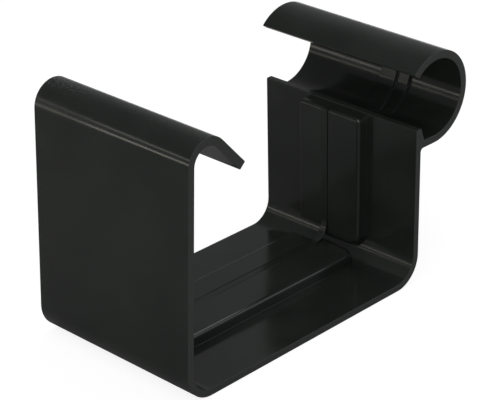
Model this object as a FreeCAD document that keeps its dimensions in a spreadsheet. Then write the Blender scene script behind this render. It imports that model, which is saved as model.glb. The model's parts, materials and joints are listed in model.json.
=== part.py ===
import FreeCAD, Part
import os
from math import asin, cos, degrees, radians, sin, sqrt, tan
from types import SimpleNamespace

import Sketcher
from FreeCAD import Vector

# Box gutter connector: one moulded piece that clips over the meeting ends of two lengths of box gutter.
# Millimetres. X runs along the gutter, Y points to the beaded front edge and Z is up.
# The origin is on the underside of the floor, midway across the channel and midway along it.

NODE = "gutter_connector"

# Driving dimensions: name, size in millimetres or degrees, what it measures.
SIZES = [
    ("connector_length", 44.0, "length along the gutter"),
    ("gutter_width", 70.0, "clear width inside, at the bottom corners"),
    ("wall", 1.6, "thickness of walls and floor"),
    ("corner_radius", 5.2, "inside radius between floor and walls"),
    ("wall_lean", 1.3, "degrees that both walls lean in to grip the gutter"),
    ("rim_height", 37.7, "top of the front wall above the underside"),
    ("rim_round", 0.3, "rounding of the rim's inner edge"),
    ("bead_radius", 8.9, "inside radius of the bead socket"),
    ("bead_wall", 1.8, "thickness of the bead socket"),
    ("bead_reach", 4.0, "bead axis beyond the front wall's outer face"),
    ("tip_stand", 3.1, "rim above the flat floor of the bead socket"),
    ("tip_flare", 20.0, "degrees between the front wall and the flank behind its tip"),
    ("lip_angle", 135.5, "degrees from level to the end of the bead socket's lip"),
    ("lip_round", 0.2, "rounding of the lip's and the flange's end edges"),
    ("web_fillet", 0.8, "fillet under the bead socket, against the front wall"),
    ("back_height", 57.4, "top of the back roll above the underside"),
    ("roll_outer", 5.4, "outside radius of the back roll"),
    ("roll_radius", 3.6, "inside radius of the back roll"),
    ("flange_angle", 47.0, "degrees that the back flange slopes down"),
    ("flange_length", 9.3, "straight length of the back flange"),
    ("flange_wall", 2.0, "thickness of the back flange"),
    ("rib_thickness", 1.5, "thickness of the rib along the gutter"),
    ("rib_shift", 2.0, "middle of the rib from the middle of the length, away from the collar"),
    ("rib_height", 2.9, "rib above the inner faces"),
    ("rib_corner", 4.5, "inside radius of the rib in the bottom corners"),
    ("rib_round", 0.2, "rounding of the rib's edges"),
    ("near_pad_width", 9.1, "width of each raised pad on the collar's side of the rib"),
    ("far_pad_width", 6.5, "width of each raised pad on the rib's other side"),
    ("pad_height", 2.8, "raised pads above the inner faces"),
    ("pad_gap", 0.2, "gap between the rib and each pad"),
    ("pad_drop", 0.8, "top of pads and rib below the rim"),
    ("pad_round", 0.8, "rounding of the pads' edges, apart from those beside the rib"),
    ("collar_start", 0.6, "far side of the collar from the middle of the length"),
    ("collar_middle", 5.0, "step between the collar's two lands"),
    ("collar_end", 8.2, "near side of the collar"),
    ("collar_shift", 1.75, "collar's bore above the bead axis"),
    ("collar_high_step", 1.0, "high land's bore, less in radius than the socket"),
    ("collar_low_step", 0.34, "low land's bore, less in radius than the socket"),
    ("collar_from", 105.0, "degrees below level where the collar begins"),
    ("collar_high_to", 40.0, "degrees above level where the high land ends"),
    ("collar_low_to", 15.0, "degrees above level where the low land ends"),
]
size = SimpleNamespace(**{name: value for name, value, meaning in SIZES})
ROUND_SHARE = 0.45  # largest share of a thickness that one rounding may take
NEAR = 1e-4  # two places closer than this are the same place
FRONT, BACK = 1, -1

doc = FreeCAD.newDocument(NODE)
sheet = doc.addObject("Spreadsheet::Sheet", "Sizes")
for row, (name, value, meaning) in enumerate(SIZES, start=1):
    sheet.set(f"A{row}", meaning)
    sheet.set(f"B{row}", str(value))
    sheet.setAlias(f"B{row}", name)
doc.recompute()

body = doc.addObject("PartDesign::Body", NODE)
body.Label = NODE


def origin_plane(role):
    """Return the body's own origin plane of that role."""
    return next(plane for plane in body.Origin.OriginFeatures if plane.Role == role)


class Section:
    """A sketch across the gutter, drawn from named lines and arcs, with its sizes bound to the sheet."""

    def __init__(self, name, stand_off=None):
        """Start a sketch on the plane across the gutter, or a stand-off from it along the gutter."""
        self.sketch = body.newObject("Sketcher::SketchObject", name)
        self.sketch.AttachmentSupport = [(origin_plane("YZ_Plane"), "")]
        self.sketch.MapMode = "FlatFace"
        if stand_off:
            self.sketch.setExpression("AttachmentOffset.Base.z", stand_off)
        self.index = {}

    def line(self, name, start, end):
        self.index[name] = self.sketch.addGeometry(Part.LineSegment(Vector(*start), Vector(*end)), False)

    def arc(self, name, centre, radius, start_angle, end_angle):
        """Draw an arc that runs anticlockwise between two angles in degrees."""
        circle = Part.Circle(Vector(*centre), Vector(0, 0, 1), radius)
        arc = Part.ArcOfCircle(circle, radians(start_angle), radians(end_angle))
        self.index[name] = self.sketch.addGeometry(arc, False)

    def point(self, name, place):
        self.index[name] = self.sketch.addGeometry(Part.Point(Vector(*place)), True)

    def _spot(self, spot):
        """Turn "name.start", "name.end", "name.centre", "name" or "origin" into a constraint's numbers."""
        if spot == "origin":
            return [-1, 1]
        name, _, end = spot.partition(".")
        return [self.index[name]] + ([{"start": 1, "end": 2, "centre": 3}[end]] if end else [])

    def rule(self, kind, *spots):
        """Add a constraint with no size, such as Tangent or Parallel."""
        numbers = [number for spot in spots for number in self._spot(spot)]
        return self.sketch.addConstraint(Sketcher.Constraint(kind, *numbers))

    def chain(self, kind, *pairs):
        """Join each pair of ends by the same kind of constraint."""
        for pair in pairs:
            self.rule(kind, *pair.split())

    def set(self, label, kind, spots, formula):
        """Add a constraint with a size, and bind it to a formula of the sheet's cells."""
        numbers = [number for spot in spots.split() for number in self._spot(spot)]
        value = self.sketch.evalExpression(formula)
        value = getattr(value, "Value", value)
        start = radians(value) if kind == "Angle" else value
        number = self.sketch.addConstraint(Sketcher.Constraint(kind, *numbers, start))
        self.sketch.renameConstraint(number, label)
        self.sketch.setExpression(f"Constraints.{label}", formula)

    def pad(self, name, thickness, symmetric):
        """Extrude the section along the gutter, about the sketch's plane or from it towards +X."""
        pad = body.newObject("PartDesign::Pad", name)
        pad.Profile = self.sketch
        pad.SideType = "Symmetric" if symmetric else "One side"
        pad.setExpression("Length", thickness)
        doc.recompute()
        return pad


# Places that several sections share, worked out from the driving dimensions.
lean = radians(size.wall_lean)
corner = (size.gutter_width / 2 - size.corner_radius, size.wall + size.corner_radius)
front_out, back_out = size.wall_lean, 180 - size.wall_lean
bead_y = size.gutter_width / 2 + size.wall + size.bead_reach
bead = (bead_y, size.rim_height - size.tip_stand + size.bead_radius)
band_top = size.rim_height - size.pad_drop
rib_side = size.rib_thickness / 2
pad_side = rib_side + size.pad_gap

CORNER_Y = "Sizes.gutter_width / 2 - Sizes.corner_radius"
CORNER_Z = "Sizes.wall + Sizes.corner_radius"
BEAD_Y = "Sizes.gutter_width / 2 + Sizes.wall + Sizes.bead_reach"
BEAD_Z = "Sizes.rim_height - Sizes.tip_stand + Sizes.bead_radius"
BAND_TOP = "Sizes.rim_height - Sizes.pad_drop"
PAD_SIDE = "Sizes.rib_thickness / 2 + Sizes.pad_gap"
FRONT_LEAN = "90 deg + Sizes.wall_lean * 1 deg"
BACK_LEAN = "90 deg - Sizes.wall_lean * 1 deg"


def polar(centre, radius, angle):
    """Point at a radius and an angle in degrees from a centre."""
    return (centre[0] + radius * cos(radians(angle)), centre[1] + radius * sin(radians(angle)))


def on_wall(side, out, height):
    """Point at a height on the line that runs up a wall, a distance out from the wall's corner centre."""
    drift = (height - corner[1] - out * sin(lean)) * tan(lean)
    return (side * (corner[0] + out * cos(lean) - drift), height)


def wall_foot(side, out):
    """Point where that line leaves the rounded corner."""
    return (side * (corner[0] + out * cos(lean)), corner[1] + out * sin(lean))


def channel_places():
    """Work out the places of the channel's section that lines and arcs meet at."""
    at = SimpleNamespace()
    at.outer_corner = size.corner_radius + size.wall
    at.outer_bead = size.bead_radius + size.bead_wall
    at.back_centre = (-corner[0], corner[1])

    at.roll = on_wall(BACK, at.outer_corner - size.roll_outer, size.back_height - size.roll_outer)
    at.flange_out = 90 - size.flange_angle
    at.flange_root = polar(at.roll, size.roll_outer, at.flange_out)
    at.flange_tip = polar(at.flange_root, size.flange_length, -size.flange_angle)
    at.flange_hook = polar(at.flange_tip, -size.flange_wall, at.flange_out)
    # The hollow of the roll touches both the wall and the flange, which differ in thickness.
    to_wall = size.roll_outer - size.wall - size.roll_radius
    to_flange = size.roll_outer - size.flange_wall - size.roll_radius
    between = radians(back_out - at.flange_out)
    towards_wall = (to_wall - to_flange * cos(between)) / sin(between) ** 2
    towards_flange = (to_flange - to_wall * cos(between)) / sin(between) ** 2
    at.hollow = polar(polar(at.roll, towards_wall, back_out), towards_flange, at.flange_out)
    at.hollow_foot = polar(at.hollow, size.roll_radius, back_out)

    at.rim_outer = on_wall(FRONT, at.outer_corner, size.rim_height)
    at.rim_inner = polar(at.rim_outer, -size.wall, front_out)
    flank = radians(size.wall_lean + size.tip_flare)
    at.notch = (at.rim_outer[0] + size.tip_stand * tan(flank), at.rim_outer[1] - size.tip_stand)

    at.lip_inner = polar(bead, size.bead_radius, size.lip_angle)
    at.lip_outer = polar(bead, at.outer_bead, size.lip_angle)
    at.web_height = bead[1] - at.outer_bead
    at.web_corner = on_wall(FRONT, at.outer_corner + size.web_fillet, at.web_height - size.web_fillet)
    at.web_foot = polar(at.web_corner, -size.web_fillet, front_out)
    return at


def draw_channel(at):
    """Draw the whole section: channel, back roll with its flange, and the bead socket on the front wall."""
    section = Section("channel_section")
    section.line("underside", (-corner[0], 0), (corner[0], 0))
    section.arc("front_corner", corner, at.outer_corner, -90, front_out)
    section.line("front_face", wall_foot(FRONT, at.outer_corner), at.web_foot)
    section.arc("web_fillet", at.web_corner, size.web_fillet, 90, 180 + front_out)
    section.line("web", (at.web_corner[0], at.web_height), (bead[0], at.web_height))
    section.arc("bead_outside", bead, at.outer_bead, -90, size.lip_angle)
    section.line("lip", at.lip_inner, at.lip_outer)
    section.arc("bead_inside", bead, size.bead_radius, -90, size.lip_angle)
    section.line("bead_floor", at.notch, (bead[0], bead[1] - size.bead_radius))
    section.line("flank", at.notch, at.rim_outer)
    section.line("rim", at.rim_outer, at.rim_inner)
    section.line("front_inside", at.rim_inner, wall_foot(FRONT, size.corner_radius))
    section.arc("front_cove", corner, size.corner_radius, -90, front_out)
    section.line("floor", (corner[0], size.wall), (-corner[0], size.wall))
    section.arc("back_cove", at.back_centre, size.corner_radius, back_out, 270)
    section.line("back_inside", wall_foot(BACK, size.corner_radius), at.hollow_foot)
    section.arc("roll_inside", at.hollow, size.roll_radius, at.flange_out, back_out)
    section.line("flange_under", polar(at.hollow, size.roll_radius, at.flange_out), at.flange_hook)
    section.line("flange_end", at.flange_hook, at.flange_tip)
    section.line("flange_top", at.flange_root, at.flange_tip)
    section.arc("roll_outside", at.roll, size.roll_outer, at.flange_out, back_out)
    section.line("back_face", wall_foot(BACK, at.outer_corner), polar(at.roll, size.roll_outer, back_out))
    section.arc("back_corner", at.back_centre, at.outer_corner, back_out, 270)

    section.chain(
        "Tangent",
        "underside.end front_corner.start", "front_corner.end front_face.start",
        "front_face.end web_fillet.end", "web_fillet.start web.start", "web.end bead_outside.start",
        "bead_floor.end bead_inside.start",
        "front_inside.end front_cove.end", "front_cove.start floor.start",
        "floor.end back_cove.end", "back_cove.start back_inside.start",
        "back_inside.end roll_inside.end", "roll_inside.start flange_under.start",
        "flange_top.start roll_outside.start", "roll_outside.end back_face.end",
        "back_face.start back_corner.start", "back_corner.end underside.start",
    )
    section.chain(
        "Coincident",
        "bead_outside.end lip.end", "lip.start bead_inside.end", "bead_floor.start flank.start",
        "flank.end rim.start", "rim.end front_inside.start",
        "flange_under.end flange_end.start", "flange_end.end flange_top.end",
        "front_corner.centre front_cove.centre", "back_corner.centre back_cove.centre",
        "bead_outside.centre bead_inside.centre",
    )
    section.chain("Parallel", "front_inside front_face", "back_inside back_face", "flange_under flange_top")
    section.chain("Perpendicular", "rim front_inside", "flange_end flange_top")
    section.chain("Equal", "front_corner back_corner", "front_cove back_cove")
    section.chain("Horizontal", "underside", "web", "bead_floor")
    section.chain("PointOnObject", "bead_outside.centre lip", "origin underside")

    section.set("front_corner_place", "DistanceX", "origin front_corner.centre", CORNER_Y)
    section.set("back_corner_place", "DistanceX", "back_corner.centre origin", CORNER_Y)
    section.set("cove_radius", "Radius", "front_cove", "Sizes.corner_radius")
    section.set("outer_corner_radius", "Radius", "front_corner", "Sizes.corner_radius + Sizes.wall")
    section.set("front_lean", "Angle", "front_face", FRONT_LEAN)
    section.set("back_lean", "Angle", "back_face", BACK_LEAN)
    section.set("rim_height", "DistanceY", "origin rim.start", "Sizes.rim_height")
    section.set("rim_thickness", "Distance", "rim", "Sizes.wall")
    section.set("flank_slope", "Angle", "flank", FRONT_LEAN + " + Sizes.tip_flare * 1 deg")
    section.set("web_fillet_radius", "Radius", "web_fillet", "Sizes.web_fillet")
    section.set("bead_inner_radius", "Radius", "bead_inside", "Sizes.bead_radius")
    section.set("bead_outer_radius", "Radius", "bead_outside", "Sizes.bead_radius + Sizes.bead_wall")
    section.set("bead_place", "DistanceX", "origin bead_inside.centre", BEAD_Y)
    section.set("bead_height", "DistanceY", "origin bead_inside.centre", BEAD_Z)
    section.set("lip_angle", "Angle", "lip", "Sizes.lip_angle * 1 deg")
    section.set("roll_outer_radius", "Radius", "roll_outside", "Sizes.roll_outer")
    section.set("roll_inner_radius", "Radius", "roll_inside", "Sizes.roll_radius")
    section.set("roll_height", "DistanceY", "origin roll_outside.centre",
                "Sizes.back_height - Sizes.roll_outer")
    section.set("flange_slope", "Angle", "flange_top", "-Sizes.flange_angle * 1 deg")
    section.set("flange_length", "Distance", "flange_top", "Sizes.flange_length")
    section.set("flange_thickness", "Distance", "flange_end", "Sizes.flange_wall")
    return section


def draw_rib():
    """Draw the rib: a U that follows walls, corners and floor, rooted in the middle of the wall."""
    root = size.corner_radius + size.wall / 2
    land = size.corner_radius - size.rib_height
    land_floor = size.wall + size.rib_height
    bend_height = land_floor + size.rib_corner
    bend = on_wall(FRONT, land - size.rib_corner, bend_height)
    section = Section("rib_section", "-Sizes.rib_shift")
    for side, name, lean_out in ((FRONT, "front", front_out), (BACK, "back", back_out)):
        turn = (-90, lean_out) if side == FRONT else (lean_out, 270)
        centre = (side * corner[0], corner[1])
        section.arc(f"{name}_root_corner", centre, root, *turn)
        section.arc(f"{name}_land_corner", (side * bend[0], bend[1]), size.rib_corner, *turn)
        top_root = on_wall(side, root, band_top)
        top_land = polar(top_root, -size.rib_height - size.wall / 2, lean_out)
        section.line(f"{name}_root", wall_foot(side, root), top_root)
        section.line(f"{name}_land", polar((side * bend[0], bend[1]), size.rib_corner, lean_out), top_land)
        section.line(f"{name}_end", top_root, top_land)
    section.line("floor_root", (-corner[0], size.wall / 2), (corner[0], size.wall / 2))
    section.line("floor_land", (-bend[0], land_floor), (bend[0], land_floor))

    for name, wall_end, floor_end in (("front", "end", "start"), ("back", "start", "end")):
        floor_side = "end" if name == "front" else "start"
        for layer in ("root", "land"):
            section.rule("Tangent", f"{name}_{layer}.start", f"{name}_{layer}_corner.{wall_end}")
            section.rule("Tangent", f"floor_{layer}.{floor_side}", f"{name}_{layer}_corner.{floor_end}")
        section.chain("Coincident", f"{name}_root.end {name}_end.start", f"{name}_end.end {name}_land.end")
        section.rule("Parallel", f"{name}_land", f"{name}_root")
        section.rule("Perpendicular", f"{name}_end", f"{name}_root")
        section.set(f"{name}_height", "DistanceY", f"origin {name}_end.start", BAND_TOP)
        section.set(f"{name}_depth", "Distance", f"{name}_end", "Sizes.rib_height + Sizes.wall / 2")
        section.set(f"{name}_corner_height", "DistanceY", f"origin {name}_root_corner.centre", CORNER_Z)
    section.set("front_corner_place", "DistanceX", "origin front_root_corner.centre", CORNER_Y)
    section.set("back_corner_place", "DistanceX", "back_root_corner.centre origin", CORNER_Y)
    section.set("front_lean", "Angle", "front_root", FRONT_LEAN)
    section.set("back_lean", "Angle", "back_root", BACK_LEAN)
    section.rule("Horizontal", "floor_land")
    section.set("floor_height", "DistanceY", "origin floor_land.start", "Sizes.wall + Sizes.rib_height")
    section.set("root_radius", "Radius", "front_root_corner", "Sizes.corner_radius + Sizes.wall / 2")
    section.set("land_radius", "Radius", "front_land_corner", "Sizes.rib_corner")
    section.chain("Equal", "front_root_corner back_root_corner", "front_land_corner back_land_corner")
    return section


def draw_pads(group, start):
    """Draw the three pads of one side of the rib: on the front wall, the floor and the back wall."""
    root = size.corner_radius + size.wall / 2
    depth = size.pad_height + size.wall / 2
    section = Section(f"{group}_section", start)
    for side, name, lean_out in ((FRONT, "front", front_out), (BACK, "back", back_out)):
        foot, top = wall_foot(side, root), on_wall(side, root, band_top)
        section.point(f"{name}_centre", (side * corner[0], corner[1]))
        section.line(f"{name}_root", foot, top)
        section.line(f"{name}_top", top, polar(top, -depth, lean_out))
        section.line(f"{name}_land", polar(top, -depth, lean_out), polar(foot, -depth, lean_out))
        section.line(f"{name}_foot", polar(foot, -depth, lean_out), foot)
        section.chain("Coincident",
                      f"{name}_root.end {name}_top.start", f"{name}_top.end {name}_land.start",
                      f"{name}_land.end {name}_foot.start", f"{name}_foot.end {name}_root.start")
        section.chain("Perpendicular", f"{name}_top {name}_root", f"{name}_foot {name}_root",
                      f"{name}_land {name}_top")
        section.rule("PointOnObject", f"{name}_centre.start", f"{name}_foot")
        section.set(f"{name}_lean", "Angle", f"{name}_root", FRONT_LEAN if side == FRONT else BACK_LEAN)
        section.set(f"{name}_root_place", "Distance", f"{name}_centre.start {name}_root",
                    "Sizes.corner_radius + Sizes.wall / 2")
        section.set(f"{name}_depth", "Distance", f"{name}_top", "Sizes.pad_height + Sizes.wall / 2")
        section.set(f"{name}_height", "DistanceY", f"origin {name}_top.start", BAND_TOP)
        section.set(f"{name}_centre_height", "DistanceY", f"origin {name}_centre.start", CORNER_Z)
    section.set("front_centre_place", "DistanceX", "origin front_centre.start", CORNER_Y)
    section.set("back_centre_place", "DistanceX", "back_centre.start origin", CORNER_Y)

    low, high = size.wall / 2, size.wall + size.pad_height
    section.line("floor_root", (-corner[0], low), (corner[0], low))
    section.line("floor_front", (corner[0], low), (corner[0], high))
    section.line("floor_land", (corner[0], high), (-corner[0], high))
    section.line("floor_back", (-corner[0], high), (-corner[0], low))
    section.chain("Coincident", "floor_root.end floor_front.start", "floor_front.end floor_land.start",
                  "floor_land.end floor_back.start", "floor_back.end floor_root.start")
    section.chain("Horizontal", "floor_root", "floor_land")
    section.chain("Vertical", "floor_front", "floor_back")
    section.set("floor_front_place", "DistanceX", "origin floor_front.start", CORNER_Y)
    section.set("floor_back_place", "DistanceX", "floor_back.start origin", CORNER_Y)
    section.set("floor_root_height", "DistanceY", "origin floor_root.start", "Sizes.wall / 2")
    section.set("floor_land_height", "DistanceY", "origin floor_land.start", "Sizes.wall + Sizes.pad_height")
    return section


def draw_collar(land, start):
    """Draw one land of the collar: a crescent in the bead socket, thickest at the bottom."""
    step, end = f"collar_{land}_step", f"collar_{land}_to"
    radius = size.bead_radius - getattr(size, step)
    bore = (bead[0], bead[1] + size.collar_shift)
    root = size.bead_radius + size.bead_wall / 2

    def root_point(angle):
        """Point where a ray from the collar's bore meets the middle of the socket's wall."""
        rise = size.collar_shift * sin(radians(angle))
        reach = sqrt(root ** 2 - (size.collar_shift * cos(radians(angle))) ** 2) - rise
        return polar(bore, reach, angle)

    def root_angle(angle):
        point = root_point(angle)
        return degrees(asin((point[1] - bead[1]) / root))

    low, high = -size.collar_from, getattr(size, end)
    section = Section(f"collar_{land}_section", start)
    section.arc("bore", bore, radius, low, high)
    section.arc("root", bead, root, -180 - root_angle(low), root_angle(high))
    section.line("low_end", polar(bore, radius, low), root_point(low))
    section.line("high_end", polar(bore, radius, high), root_point(high))
    section.chain("Coincident", "bore.start low_end.start", "low_end.end root.start",
                  "bore.end high_end.start", "high_end.end root.end")
    section.rule("PointOnObject", "bore.centre", "low_end")
    section.rule("PointOnObject", "bore.centre", "high_end")
    section.set("low_angle", "Angle", "low_end", "-Sizes.collar_from * 1 deg")
    section.set("high_angle", "Angle", "high_end", f"Sizes.{end} * 1 deg")
    section.set("bore_radius", "Radius", "bore", f"Sizes.bead_radius - Sizes.{step}")
    section.set("root_radius", "Radius", "root", "Sizes.bead_radius + Sizes.bead_wall / 2")
    section.set("root_place", "DistanceX", "origin root.centre", BEAD_Y)
    section.set("root_height", "DistanceY", "origin root.centre", BEAD_Z)
    section.set("bore_place", "DistanceX", "origin bore.centre", BEAD_Y)
    section.set("bore_height", "DistanceY", "origin bore.centre", BEAD_Z + " + Sizes.collar_shift")
    return section


def round_edges(name, base, test, radius, thickness):
    """Round the edges whose two ends pass a test, by no more than the thickness they are on allows."""
    fillet = body.newObject("PartDesign::Fillet", name)
    fillet.Base = (base, [f"Edge{number}" for number, edge in enumerate(base.Shape.Edges, start=1)
                          if test(*(vertex.Point for vertex in edge.Vertexes))])
    fillet.setExpression("Radius", f"min(Sizes.{radius}; {ROUND_SHARE} * Sizes.{thickness})")
    doc.recompute()
    return fillet


def through(*places):
    """Make a test for edges that run along the gutter through places of the section."""
    def test(start, end):
        return abs(start.x - end.x) > NEAR and any(start.distanceToPoint(Vector(start.x, *place)) < NEAR
                                                   for place in places)
    return test


def stands(point, height):
    """Whether a point is at a height above the inner face of the floor or of a wall."""
    heights = [point.z - size.wall]
    for side in (FRONT, BACK):
        out = (side * point.y - corner[0]) * cos(lean) + (point.z - corner[1]) * sin(lean)
        heights.append(size.corner_radius - out)
    return any(abs(value - height) < NEAR for value in heights)


def from_rib(point):
    """How far a point is from the middle of the rib, along the gutter."""
    return abs(point.x + size.rib_shift)


def on_rib(*points):
    return all(abs(from_rib(point) - rib_side) < NEAR and stands(point, size.rib_height) for point in points)


def on_pad(*points):
    reach = [from_rib(point) for point in points]
    return (min(reach) > pad_side - NEAR and max(reach) > pad_side + NEAR
            and all(stands(point, size.pad_height) for point in points))


at = channel_places()
channel = draw_channel(at).pad("channel", "Sizes.connector_length", True)
tips = through(at.lip_inner, at.lip_outer, at.flange_tip, at.flange_hook)
end_rounding = round_edges("end_rounding", channel, tips, "lip_round", "wall")
round_edges("rim_rounding", end_rounding, through(at.rim_inner), "rim_round", "wall")

rib = draw_rib().pad("rib", "Sizes.rib_thickness", True)
round_edges("rib_rounding", rib, on_rib, "rib_round", "rib_thickness")

near_start = f"{PAD_SIDE} - Sizes.rib_shift"
far_start = f"-({PAD_SIDE}) - Sizes.rib_shift - Sizes.far_pad_width"
draw_pads("near_pad", near_start).pad("near_pads", "Sizes.near_pad_width", False)
far_pads = draw_pads("far_pad", far_start).pad("far_pads", "Sizes.far_pad_width", False)
round_edges("pad_rounding", far_pads, on_pad, "pad_round", "pad_height")

for land, start, end in (("high", "collar_start", "collar_middle"), ("low", "collar_middle", "collar_end")):
    draw_collar(land, f"Sizes.{start}").pad(f"collar_{land}", f"Sizes.{end} - Sizes.{start}", False)

doc.recompute()
for item in doc.Objects:
    if "Invalid" in item.State or "Error" in item.State:
        raise RuntimeError(f"{item.Name} did not build: {item.State}")
if body.Shape.isNull() or not body.Shape.isValid() or len(body.Shape.Solids) != 1:
    raise RuntimeError(f"{NODE} is not one valid solid")

os.makedirs("parts", exist_ok=True)
body.Shape.exportStep(f"parts/{NODE}.step")
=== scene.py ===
"""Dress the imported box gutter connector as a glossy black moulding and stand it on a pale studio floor."""

import json
import math
from types import SimpleNamespace

import bpy
import numpy as np
from mathutils import Matrix, Vector


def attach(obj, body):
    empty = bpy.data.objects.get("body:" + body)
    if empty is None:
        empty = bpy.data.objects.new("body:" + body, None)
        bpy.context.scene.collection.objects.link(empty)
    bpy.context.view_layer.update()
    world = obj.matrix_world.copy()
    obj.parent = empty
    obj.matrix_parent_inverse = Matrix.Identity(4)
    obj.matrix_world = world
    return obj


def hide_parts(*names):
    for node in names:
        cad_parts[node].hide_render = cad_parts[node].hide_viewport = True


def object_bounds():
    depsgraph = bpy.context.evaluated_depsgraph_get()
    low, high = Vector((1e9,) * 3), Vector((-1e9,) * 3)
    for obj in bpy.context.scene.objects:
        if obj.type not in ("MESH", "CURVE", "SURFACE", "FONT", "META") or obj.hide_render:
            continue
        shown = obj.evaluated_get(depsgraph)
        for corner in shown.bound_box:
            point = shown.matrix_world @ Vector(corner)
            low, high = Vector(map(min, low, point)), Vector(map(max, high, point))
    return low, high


bl_info = {
    "name": "Box gutter connector",
    "version": (1, 0, 0),
    "blender": (4, 5, 0),
    "location": "View3D > Sidebar > Connector",
    "description": "Builds a moulded box gutter connector around its packed solid",
    "category": "Add Mesh",
}

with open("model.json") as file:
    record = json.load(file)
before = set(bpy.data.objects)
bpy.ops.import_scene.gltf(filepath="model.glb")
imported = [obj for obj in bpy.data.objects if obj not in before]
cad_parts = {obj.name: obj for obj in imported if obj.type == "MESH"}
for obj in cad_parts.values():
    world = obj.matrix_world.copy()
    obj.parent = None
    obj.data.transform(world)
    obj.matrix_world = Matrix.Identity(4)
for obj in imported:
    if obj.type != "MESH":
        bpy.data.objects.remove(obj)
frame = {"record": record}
CAD_LOW, CAD_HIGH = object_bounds()
MOUNTS = {mount["name"]: mount["pos_m"] for mount in frame["record"]["mounts"]}

NODE = "gutter_connector"
BODY = "root"

# Units and directions
MM = 0.001
QUARTER, HALF_TURN = math.pi / 2, math.pi
ALONG, ACROSS, UP = np.eye(3)
FRONT, BACK = 1, -1
NEAR, FAR = 1, -1

# Steps of the grids
ARC_STEP = math.radians(5)
RUN_STEP = 2.5 * MM
RIB_STEP = 0.8 * MM
PAD_STEP = 0.3 * MM
END_STEPS = 6
COLLAR_STEPS = 104
LAND_STEPS = 9

# Small sizes of the shapes: the wall in millimetres, depths in metres, and shares of a rounding
WALL = 1.6
TOE = 0.03 * MM
COLLAR_SINK = 0.3 * MM
RIB_END = 0.9
PAD_SHRINK = 0.97
OUTLINE_END = 0.95

# Noise in the plastic: waves per metre and how much detail
CLOUD = (90.0, 3.0)
GRAIN = (1900.0, 2.0)
RIPPLE = (55.0, 1.0)
SPECKS = (1400.0, 1.0)
POWDER_AND_SHEEN = (2400.0, 2.0)

# Spans of that noise over which colour, gloss, specks and the powder with its painted sheen change
TINT_SPAN = (0.35, 0.65)
POLISH_SPAN = (0.3, 0.7)
SPECK_SPAN = (0.70, 0.80)
SPECK_COVER = 0.35
POWDER_AND_SHEEN_SPAN = (0.48, 0.66)

# Where the powder with its painted sheen lies and where the roll is worn, from the roll's axis, the top and
# the middle
ROLL_SPAN = (-3.2 * MM, 0.8 * MM)
TOP_SPAN = (-2.5 * MM, -1.0 * MM)
POWDER_AND_SHEEN_END, POWDER_AND_SHEEN_LEAST = 0.4, 0.18
WORN_REACH, WORN_END = 6.0 * MM, 0.1

# The end faces, duller and painted paler in place of light from the side, from the connector's ends
END_SPAN = (-0.08 * MM, -0.03 * MM)
PLASTIC_IOR = 1.5

# Sockets of Blender's node that blends two colours
MIX_FIRST, MIX_SECOND, MIX_RESULT = 6, 7, 2

# Floor, and the spans of direction over which the room changes: upwards, and towards the backdrop
FLOOR_HALF = 2.0
FLOOR_DROP = 0.02 * MM
FLOOR_ROUGH = 0.9
GLOW_STRENGTH = 1.2
DEPTH_SPAN = (0.03, 0.24)
LOW_SPAN = (0.30, 0.16)
BACKDROP_SPAN = (0.2, 0.6)

# Lamps in metres: places, distances, and widths with heights
WHITE = (1.0, 1.0, 1.0)
LAMP_AIM = (0.0, 0.0, 0.02)
OVERHEAD_PLACE, OVERHEAD_AIM, OVERHEAD_SIZE = (0.0, 0.0, 1.05), (0.0, 0.0, 0.0), (0.9, 2.0)
FILL_DISTANCE, FILL_SIZE = 0.9, (0.6, 0.6)
SIDE_PLACE, SIDE_SIZE = (0.41, 0.39, 0.19), (0.3, 0.2)

# Strip lamps: each is two parts in line, given by start, end and gain
STRIP_TURN = math.radians(-42.0)
STRIP_DISTANCE = 0.150
STRIP_WIDTH = 0.009
STRIP_FULL = 0.140
STRIP_PARTS = ((-0.070, 0.0065, 1.0), (0.0135, 0.050, 1.25))
LOW_STRIP_HEIGHT, HIGH_STRIP_HEIGHT = 0.043, 0.080

# Camera
SENSOR_WIDTH = 36.0
CLIP_START = 0.01


# Settings


def length(name, description, millimetres):
    """A size in millimetres, held in metres."""
    return bpy.props.FloatProperty(name=name, description=description, default=millimetres * MM,
                                   precision=4, subtype="DISTANCE", unit="LENGTH")


def angle(name, description, degrees):
    """An angle in degrees, held in radians."""
    return bpy.props.FloatProperty(name=name, description=description, default=math.radians(degrees),
                                   subtype="ANGLE", unit="ROTATION")


def share(name, description, default):
    """A plain number between nothing and one."""
    return bpy.props.FloatProperty(name=name, description=description, default=default,
                                   min=0.0, max=1.0, precision=4, subtype="FACTOR")


def power(name, description, default):
    """The power of a lamp in watts."""
    return bpy.props.FloatProperty(name=name, description=description, default=default,
                                   precision=4, unit="POWER")


def colour(name, description, default):
    """A linear colour."""
    return bpy.props.FloatVectorProperty(name=name, description=description, default=default,
                                         size=3, min=0.0, max=1.0, precision=4, subtype="COLOR")


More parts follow.
